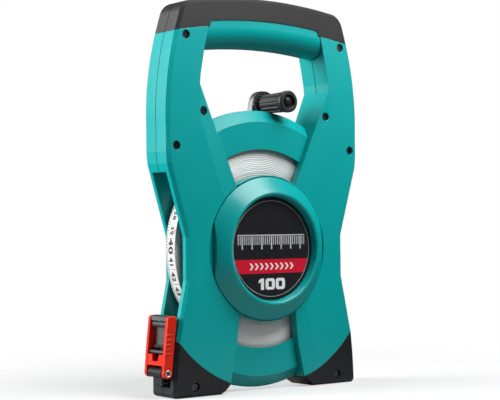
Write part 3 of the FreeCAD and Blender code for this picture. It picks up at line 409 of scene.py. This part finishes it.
def floor_material():
    """Pale floor that fades into the white of the studio; only the eye sees it glow."""
    m = NodeMaterial("floor_white")
    m.drive("Base Color", (FLOOR_TONE, FLOOR_TONE, FLOOR_TONE, 1.0))
    m.drive("Roughness", 0.8)
    m.drive("Specular IOR Level", 0.1)
    m.drive("Emission Color", WHITE)
    seen = m.node("LightPath").outputs["Is Camera Ray"]
    m.drive("Emission Strength", m.math("MULTIPLY", seen, FLOOR_GLOW))
    distance = m.node("VectorMath", {0: m.place}, operation="LENGTH")
    clear, mix = m.node("BsdfTransparent"), m.node("MixShader")
    fade = m.spread(distance.outputs["Value"], low=0.0, high=1.0,
                    start=FLOOR_FADE_START, end=FLOOR_FADE_END)
    m.join(fade, mix.inputs["Fac"])
    m.join(m.shader.outputs["BSDF"], mix.inputs[1])
    m.join(clear.outputs["BSDF"], mix.inputs[2])
    m.join(mix.outputs["Shader"], m.tree.nodes["Material Output"].inputs["Surface"])
    return m.data


def add_stage():
    """Background, lights and floor."""
    add_world()
    for softbox in SOFTBOXES:
        add_softbox(*softbox)
    mesh = bpy.data.meshes.new("floor")
    corners = [(x * FLOOR_REACH, y * FLOOR_REACH, 0)
               for x, y in ((-1, -1), (1, -1), (1, 1), (-1, 1))]
    mesh.from_pydata(corners, [], [(0, 1, 2, 3)])
    mesh.materials.append(floor_material())
    floor = bpy.data.objects.new("floor", mesh)
    floor.location.z = CAD_BOX[0][2] - FLOOR_GAP
    bpy.context.scene.collection.objects.link(floor)


# ---------------------------------------------------------------- mesh helpers

SHARP_FROM = math.radians(35)


def add_piece(name, verts, faces, material, body, smooth=False):
    """A mesh object that rides on a body and takes the material given."""
    mesh = bpy.data.meshes.new(name)
    mesh.from_pydata(verts, [], faces)
    mesh.validate()
    mesh.materials.append(material)
    for face in mesh.polygons:
        face.use_smooth = smooth
    piece = bpy.data.objects.new(name, mesh)
    bpy.context.scene.collection.objects.link(piece)
    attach(piece, body)
    return piece


def mark_sharp(piece):
    """Face outwards, and mark the steep edges sharp."""
    bm = bmesh.new()
    bm.from_mesh(piece.data)
    bmesh.ops.recalc_face_normals(bm, faces=bm.faces)
    for edge in bm.edges:
        edge.smooth = len(edge.link_faces) == 2 and edge.calc_face_angle(0.0) < SHARP_FROM
    bm.to_mesh(piece.data)
    bm.free()


def polar(radius, angle):
    return radius * math.cos(angle), radius * math.sin(angle)


def round_hub(radius, angle, y):
    """A point at a radius and angle round the hub's axis."""
    x, z = polar(radius, angle)
    return x, y, HUB_Z + z


def ring_faces(steps, count, start=0):
    """Quads over a closed ring of steps sections, each a closed loop of count points."""
    faces = []
    for k in range(steps):
        here, after = start + k * count, start + (k + 1) % steps * count
        for j in range(count):
            beside = (j + 1) % count
            faces.append((here + j, here + beside, after + beside, after + j))
    return faces


FIGURE_SPACING = 1.12
FIGURE_CURVE_STEPS = 4


def text_outline(words, height, bold, stretch):
    """Flat mesh data of a run of figures, centred, as tall as given and stretched along."""
    curve = bpy.data.curves.new("figures", "FONT")
    curve.body, curve.align_x, curve.align_y = words, "CENTER", "CENTER"
    curve.offset, curve.space_character = bold, FIGURE_SPACING
    curve.resolution_u = FIGURE_CURVE_STEPS
    holder = bpy.data.objects.new("figures", curve)
    bpy.context.scene.collection.objects.link(holder)
    shown = holder.evaluated_get(bpy.context.evaluated_depsgraph_get())
    flat = bpy.data.meshes.new_from_object(shown)
    bpy.data.objects.remove(holder)
    xs, ys = [v.co.x for v in flat.vertices], [v.co.y for v in flat.vertices]
    scale = height / (max(ys) - min(ys))
    middle_x, middle_y = (max(xs) + min(xs)) / 2, (max(ys) + min(ys)) / 2
    verts = [((x - middle_x) * scale * stretch, (y - middle_y) * scale) for x, y in zip(xs, ys)]
    faces = [tuple(face.vertices) for face in flat.polygons]
    bpy.data.meshes.remove(flat)
    return verts, faces


class Outline:
    """Collects flat shapes (u, v) and places them all with one mapping."""

    def __init__(self):
        self.verts, self.faces = [], []

    def add(self, verts, faces, u=0.0, v=0.0):
        start = len(self.verts)
        self.verts += [(a + u, b + v) for a, b in verts]
        self.faces += [tuple(k + start for k in face) for face in faces]

    def bar(self, u, v, width, height):
        w, h = width / 2, height / 2
        self.add([(-w, -h), (w, -h), (w, h), (-w, h)], [(0, 1, 2, 3)], u, v)

    def text(self, words, height, u, v, bold, stretch=1.0):
        self.add(*text_outline(words, height, bold, stretch), u, v)

    def placed(self, mapping):
        return [mapping(u, v) for u, v in self.verts]


# ---------------------------------------------------------------- wound tape

TURN_PITCH = 1.2 * MM
TURN_SHOULDER = 0.4 * MM      # from a turn's flat face to the gap beside it
TURN_GAP_DEPTH, TURN_GAP_FOOT = 0.18 * MM, 0.04 * MM
TURN_UNEVENNESS = 0.06 * MM
LAST_TURN_ROOM = 0.9 * MM
RIM_INSET, RIM_ROUND, RIM_DROP = 0.05 * MM, 0.25 * MM, 0.12 * MM   # the outer turn's edge
COIL_STEPS = 220


def coil_profile():
    """Rear side of the wound tape as (place along Y, radius): the uneven edges of its turns."""
    points = []
    radius = CORE_RADIUS
    while radius < COIL_RADIUS - LAST_TURN_ROOM:
        proud = COIL_HALF_WIDTH - random.uniform(0.0, TURN_UNEVENNESS)
        points += [(proud - TURN_GAP_DEPTH, radius + TURN_GAP_FOOT),
                   (proud, radius + TURN_SHOULDER),
                   (proud, radius + TURN_PITCH - TURN_SHOULDER)]
        radius += TURN_PITCH
    return points + [(COIL_HALF_WIDTH - RIM_INSET, COIL_RADIUS - RIM_ROUND),
                     (COIL_HALF_WIDTH - RIM_DROP, COIL_RADIUS)]


def add_coil(materials):
    """Replace the plain ring by a coil whose side faces show its turns."""
    rear = coil_profile()
    section = rear + [(-y, r) for y, r in reversed(rear)]
    count = len(section)
    verts = [round_hub(r, 2 * math.pi * k / COIL_STEPS, y)
             for k in range(COIL_STEPS) for y, r in section]
    coil = add_piece("wound_tape", verts, ring_faces(COIL_STEPS, count), materials["turns"],
                     "reel", smooth=True)
    coil.data.materials.append(materials["tape"])
    for index, face in enumerate(coil.data.polygons):
        face.material_index = 1 if index % count == len(rear) - 1 else 0
    mark_sharp(coil)
    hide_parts("tape_coil")


# ---------------------------------------------------------------- print on the tape

FIRST_FIGURE, LAST_FIGURE = 10, 52
FIGURE_AT_LEFT = 40.27        # the tape's reading at the coil's leftmost point
TENS_HEIGHT, TENS_STRETCH = 5.2 * MM, 1.42
FIGURE_HEIGHT, FIGURE_STRETCH = 4.1 * MM, 1.1
FIGURE_BOLD, HUNDREDS_BOLD = 0.04, 0.02
HUNDREDS_HEIGHT = 1.7 * MM
LONG_TICK, SHORT_TICK, FAR_TICK = 2.9 * MM, 1.9 * MM, 1.2 * MM
TICK_WIDTH, FAR_TICK_WIDTH, HALF_LINE_WIDTH = 0.32 * MM, 0.26 * MM, 0.25 * MM
TICK_MARGIN, FAR_TICK_INSET = 0.25 * MM, 0.9 * MM
# places across the tape, from its middle
FIGURE_ACROSS, HUNDREDS_ACROSS, HALF_LINE_ACROSS = 0.5 * MM, 3.6 * MM, 1.9 * MM
HALF_LINE_ROOM = 5.0 * MM     # left free across the tape by the half-centimetre lines
HUNDREDS_BEFORE = 0.92        # of a centimetre, from the figure of the same tens
TAPE_PRINT_LIFT = 0.05 * MM


def on_band(lift):
    """Mapping from (along from the leftmost point, across) to the coil's outer turn."""
    def place(u, v):
        return round_hub(COIL_RADIUS + lift, math.pi + u / COIL_RADIUS, -v)
    return place


def add_tape_print(materials):
    """Centimetre figures, half and millimetre ticks on the outer turn."""
    black, red = Outline(), Outline()
    for figure in range(FIRST_FIGURE, LAST_FIGURE + 1):
        along = (figure - FIGURE_AT_LEFT) * CM
        tens = figure % 10 == 0
        height, stretch = (TENS_HEIGHT, TENS_STRETCH) if tens else (FIGURE_HEIGHT, FIGURE_STRETCH)
        black.text(str(figure), height, u=along, v=FIGURE_ACROSS, bold=FIGURE_BOLD,
                   stretch=stretch)
        black.bar(u=along + CM / 2, v=HALF_LINE_ACROSS, width=HALF_LINE_WIDTH,
                  height=2 * COIL_HALF_WIDTH - HALF_LINE_ROOM)
        if tens:
            red.text(f"{figure // 10}00", HUNDREDS_HEIGHT, u=along - CM * HUNDREDS_BEFORE,
                     v=HUNDREDS_ACROSS, bold=HUNDREDS_BOLD)
    for tick in range(FIRST_FIGURE * 10, LAST_FIGURE * 10):
        along = (tick / 10 - FIGURE_AT_LEFT) * CM
        half = tick % 5 == 0
        length = LONG_TICK if half else SHORT_TICK
        black.bar(u=along, v=-COIL_HALF_WIDTH + TICK_MARGIN + length / 2, width=TICK_WIDTH,
                  height=length)
        if half:
            black.bar(u=along, v=COIL_HALF_WIDTH - FAR_TICK_INSET, width=FAR_TICK_WIDTH,
                      height=FAR_TICK)
    place = on_band(TAPE_PRINT_LIFT)
    add_piece("tape_figures", black.placed(place), black.faces, materials["ink_black"],
              "reel")
    add_piece("tape_hundreds", red.placed(place), red.faces, materials["ink_red"],
              "reel")


# ---------------------------------------------------------------- label

RING_RADIUS, RING_HALF_WIDTH = 31.7 * MM, 0.14 * MM
BAND_TOP, BAND_FOOT = -7.1 * MM, -16.4 * MM
BAND_GAP = 0.5 * MM           # between the band's ends and the ring
CHEVRON_PITCH, CHEVRON_WIDTH, CHEVRON_HEIGHT = 4.2 * MM, 1.5 * MM, 4.4 * MM
CHEVRON_SLOPE = 0.42
CHEVRONS_EACH_SIDE = 4
RULER_TOP = 8.2 * MM          # the marks hang from here, just under the long line
RULER_PITCH, RULER_LENGTH, RULER_LINE = 1.62 * MM, 56.2 * MM, 0.7 * MM
LONG_MARK, SHORT_MARK = (8.6 * MM, 1.0 * MM), (5.6 * MM, 0.62 * MM)   # length, width
MARKS_EACH_SIDE = 17
INK_LIFT, TOP_INK_LIFT = 0.03 * MM, 0.06 * MM

LENGTH_FIGURES_V = -23.4 * MM
FIGURE_ONE = [(-9.2, -3.75), (-6.7, -3.75), (-6.7, 3.75), (-9.0, 3.75), (-11.0, 2.35),
              (-11.0, 0.6), (-9.2, 1.5)]
ZERO_CENTRES = (-1.45, 7.1)
ZERO_WIDTH, ZERO_HEIGHT, ZERO_STEM = 7.8 * MM, 7.5 * MM, 2.5 * MM
ZERO_CORNER, ZERO_INNER_CORNER = 1.9 * MM, 0.45 * MM


def on_label(lift):
    """Mapping from (right, up) round the hub to the label's face."""
    def place(u, v):
        return u, LABEL_FACE - lift, HUB_Z + v
    return place


def ring_shape(inner, outer, steps=160):
    verts, faces = [], []
    for k in range(steps):
        angle = 2 * math.pi * k / steps
        verts += [polar(inner, angle), polar(outer, angle)]
        after = (k + 1) % steps
        faces.append((2 * k, 2 * k + 1, 2 * after + 1, 2 * after))
    return verts, faces


def band_shape(radius, top, foot, steps=10):
    """A straight band across a circle, with round ends."""
    start, end = math.asin(foot / radius), math.asin(top / radius)
    right = [polar(radius, start + (end - start) * k / steps) for k in range(steps + 1)]
    left = [(-x, z) for x, z in reversed(right)]
    return right + left, [tuple(range(2 * steps + 2))]


def rounded_ring(width, height, stem, corner, steps=5):
    """A rounded rectangle with a slot in it, as quads between the two outlines."""
    def outline(w, h, r):
        points = []
        for k, (sx, sy) in enumerate(((1, 1), (-1, 1), (-1, -1), (1, -1))):
            for n in range(steps + 1):
                x, y = polar(r, math.radians(90 * (k + n / steps)))
                points.append((sx * (w / 2 - r) + x, sy * (h / 2 - r) + y))
        return points
    outer = outline(width, height, corner)
    inner = outline(width - 2 * stem, height - 1.5 * stem, ZERO_INNER_CORNER)
    count = len(outer)
    return outer + inner, [(k, (k + 1) % count, count + (k + 1) % count, count + k)
                           for k in range(count)]


def add_wide_figures(outline, v):
    """The figures 100, broad and square with rounded corners."""
    outline.add([(a * MM, b * MM) for a, b in FIGURE_ONE], [(0, 1, 2, 3, 6), (6, 3, 4, 5)], v=v)
    for centre in ZERO_CENTRES:
        zero = rounded_ring(ZERO_WIDTH, ZERO_HEIGHT, ZERO_STEM, ZERO_CORNER)
        outline.add(*zero, u=centre * MM, v=v)


def add_chevron(outline, u, v, width, height):
    w, h, point = width / 2, height / 2, height * CHEVRON_SLOPE
    outline.add([(-w, -h), (w, -h), (w + point, 0.0), (w, h), (-w, h), (-w + point, 0.0)],
                [(0, 1, 2, 5), (5, 2, 3, 4)], u - point / 2, v)


def add_ruler(outline):
    """A row of long and short marks under one line."""
    for k in range(-MARKS_EACH_SIDE, MARKS_EACH_SIDE + 1):
        length, width = LONG_MARK if k % 5 == 0 else SHORT_MARK
        outline.bar(k * RULER_PITCH, RULER_TOP - length / 2, width, length)
    outline.bar(0.0, RULER_TOP + RULER_LINE, RULER_LENGTH, RULER_LINE)


def add_label(materials):
    """Thin ring, a ruler pattern, a red band with chevrons, and the tape's length."""
    ring, band, white, silver = Outline(), Outline(), Outline(), Outline()
    ring.add(*ring_shape(RING_RADIUS - RING_HALF_WIDTH, RING_RADIUS + RING_HALF_WIDTH))
    band.add(*band_shape(RING_RADIUS - BAND_GAP, BAND_TOP, BAND_FOOT))
    add_wide_figures(white, LENGTH_FIGURES_V)
    for k in range(-CHEVRONS_EACH_SIDE, CHEVRONS_EACH_SIDE + 1):
        add_chevron(white, k * CHEVRON_PITCH, (BAND_TOP + BAND_FOOT) / 2, CHEVRON_WIDTH,
                    CHEVRON_HEIGHT)
    add_ruler(silver)
    for name, outline, material, lift in (("label_ring", ring, "print_silver", INK_LIFT),
                                          ("label_band", band, "print_red", INK_LIFT),
                                          ("label_white", white, "print_white", TOP_INK_LIFT),
                                          ("label_scale", silver, "print_silver", TOP_INK_LIFT)):
        add_piece(name, outline.placed(on_label(lift)), outline.faces, materials[material],
                  "casing")


# ---------------------------------------------------------------- hook details

RIB_COUNT, RIB_PITCH = 5, 3.0 * MM
FIRST_RIB = 15.6 * MM         # above the foot of the hook's frame
RIB_INSET = 2.2 * MM          # from the frame's outer edge, taken at its top
FRAME_SLOPE = 0.105           # how far that edge leans in, for its height
RIB_STATIONS = ((-4.3, 0.5), (-3.9, 1.0), (-0.4, 1.0), (0.0, 0.5))        # along, size
RIB_SECTION = ((-0.55, -0.1), (-0.25, 0.3), (0.25, 0.3), (0.55, -0.1))    # up, out

EYELET_RADIUS, EYELET_ROLL = 1.82 * MM, 0.4 * MM
EYELET_FLATNESS = 0.8         # how far the roll stands out, against its width
EYELET_SUNK = 0.06 * MM
EYELET_STEPS, EYELET_ROUND = 32, 8


def add_hook_ribs(materials):
    """Five low rounded ribs across the outer face of each cheek."""
    low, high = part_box("hook_frame")
    verts, faces = [], []
    for side, face in ((-1, low[1]), (1, high[1])):
        for k in range(RIB_COUNT):
            z = low[2] + FIRST_RIB + RIB_PITCH * k
            right = high[0] - RIB_INSET + (z - high[2]) * FRAME_SLOPE
            start = len(verts)
            for x, size in RIB_STATIONS:
                for rise, out in RIB_SECTION:
                    proud = side * (out if out < 0 else out * size) * MM
                    verts.append((right + x * MM, face + proud, z + rise * size * MM))
            for a in range(start, start + 12, 4):
                faces += [(a + b, a + b + 1, a + b + 5, a + b + 4) for b in range(3)]
            faces += [tuple(range(start, start + 4)), tuple(range(start + 12, start + 16))]
    ribs = add_piece("hook_ribs", verts, faces, materials["red_plastic"], "hook")
    mark_sharp(ribs)


def add_eyelets(materials):
    """Rolled eyelets in the hook's cheeks, round both ends of its pin."""
    pin_low, pin_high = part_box("hook_pin")
    low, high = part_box("hook_frame")
    centre_x, _, centre_z = [(a + b) / 2 for a, b in zip(pin_low, pin_high)]
    verts, faces = [], []
    for face in (low[1] + EYELET_SUNK, high[1] - EYELET_SUNK):
        faces += ring_faces(EYELET_STEPS, EYELET_ROUND, start=len(verts))
        for k in range(EYELET_STEPS):
            for n in range(EYELET_ROUND):
                out, up = polar(EYELET_ROLL, 2 * math.pi * n / EYELET_ROUND)
                x, z = polar(EYELET_RADIUS + out, 2 * math.pi * k / EYELET_STEPS)
                verts.append((centre_x + x, face + EYELET_FLATNESS * up, centre_z + z))
    add_piece("pin_eyelets", verts, faces, materials["nickel"], "hook",
              smooth=True)


# ---------------------------------------------------------------- the scene

def main():
    materials = make_materials()
    dress_nodes(materials)
    add_camera()
    add_stage()
    add_coil(materials)
    add_tape_print(materials)
    add_label(materials)
    add_hook_ribs(materials)
    add_eyelets(materials)


main()
